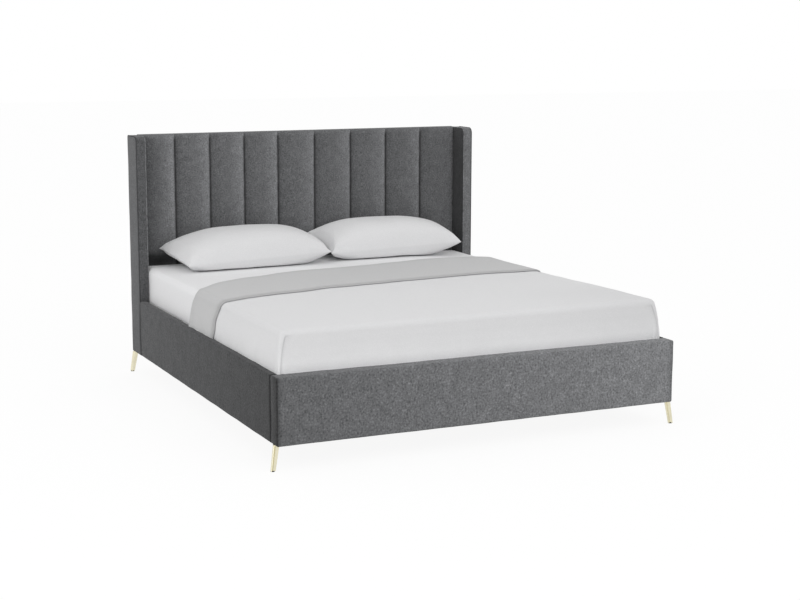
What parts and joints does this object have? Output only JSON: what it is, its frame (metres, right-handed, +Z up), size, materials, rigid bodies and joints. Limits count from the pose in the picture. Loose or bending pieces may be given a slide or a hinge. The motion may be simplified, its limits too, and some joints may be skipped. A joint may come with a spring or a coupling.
{
  "type": "upholstered platform bed",
  "caption": "Double bed with a channelled headboard between side wings, slim upholstered rails on short splayed legs, slatted base, mattress, coverlet and pillows.",
  "frame": {"origin": "on the floor under the middle of the bed", "axes": "+Z up, +Y toward the headboard, +X toward the right side seen from the foot"},
  "size_m": [1.9238, 2.108, 1.212],
  "materials": {
    "grey_wool": "felted, speckled",
    "back_cloth": "thin lining cloth",
    "foam": "foam, matt",
    "plywood": "raw",
    "pine": "planed, raw",
    "zinc_steel": "zinc plated",
    "black_steel": "black powder coat",
    "pale_gold": "pale gold, satin",
    "black_plastic": "moulded",
    "felt": "felt",
    "webbing": "woven tape",
    "ticking": "knitted ticking",
    "white_cotton": "plain weave",
    "coverlet_cotton": "plain weave, grey reverse",
    "filling": "fibre filling"
  },
  "bodies": {
    "bed_frame": {"channel_cover": "grey_wool", "wing_cover_left": "grey_wool", "wing_cover_right": "grey_wool", "side_rail_cover_left": "grey_wool", "side_rail_cover_right": "grey_wool", "foot_rail_cover": "grey_wool", "back_cloth": "back_cloth", "channel_foam": "foam", "headboard_board": "plywood", "wing_board_left": "plywood", "wing_board_right": "plywood", "side_rail_board_left": "plywood", "side_rail_board_right": "plywood", "foot_rail_front_board": "plywood", "foot_rail_rear_board": "plywood", "headboard_dowels": "pine", "head_cross_rail": "pine", "ledger_left": "pine", "ledger_right": "pine", "foot_rail_top_batten": "pine", "foot_rail_bottom_batten": "pine", "foot_rail_end_block_left": "pine", "foot_rail_end_block_right": "pine", "centre_beam": "pine", "slat_01": "pine", "slat_02": "pine", "slat_03": "pine", "slat_04": "pine", "slat_05": "pine", "slat_06": "pine", "slat_07": "pine", "slat_08": "pine", "slat_09": "pine", "slat_10": "pine", "slat_11": "pine", "slat_12": "pine", "corner_brackets": "zinc_steel", "rail_hook_plates": "zinc_steel", "post_hook_plates": "zinc_steel", "beam_hangers": "zinc_steel", "short_screws": "zinc_steel", "long_screws": "zinc_steel", "centre_legs": "black_steel", "leg_front_left": "pale_gold", "leg_front_right": "pale_gold", "leg_rear_left": "pale_gold", "leg_rear_right": "pale_gold", "leg_pads": "felt", "slat_straps": "webbing"},
    "mattress": {"mattress": "ticking", "fitted_sheet": "white_cotton", "coverlet": "coverlet_cotton"},
    "pillow_left": {"pillow_left": "filling", "pillowcase_left": "white_cotton"},
    "pillow_right": {"pillow_right": "filling", "pillowcase_right": "white_cotton"},
    "centre_glide_1": {"centre_glide_1": "black_plastic"},
    "centre_glide_2": {"centre_glide_2": "black_plastic"},
    "centre_glide_3": {"centre_glide_3": "black_plastic"}
  },
  "joints": [
    {"name": "mattress_lift", "type": "slide", "parent": "bed_frame", "child": "mattress", "axis": [0, 0, 1], "range_m": [0, 0.3]},
    {"name": "pillow_left_lift", "type": "slide", "parent": "mattress", "child": "pillow_left", "axis": [0, 0, 1], "range_m": [0, 0.3]},
    {"name": "pillow_right_lift", "type": "slide", "parent": "mattress", "child": "pillow_right", "axis": [0, 0, 1], "range_m": [0, 0.3]},
    {"name": "centre_glide_1_screw", "type": "slide", "parent": "bed_frame", "child": "centre_glide_1", "axis": [0, 0, 1], "range_m": [0, 0.012]},
    {"name": "centre_glide_2_screw", "type": "slide", "parent": "bed_frame", "child": "centre_glide_2", "axis": [0, 0, 1], "range_m": [0, 0.012]},
    {"name": "centre_glide_3_screw", "type": "slide", "parent": "bed_frame", "child": "centre_glide_3", "axis": [0, 0, 1], "range_m": [0, 0.012]}
  ]
}
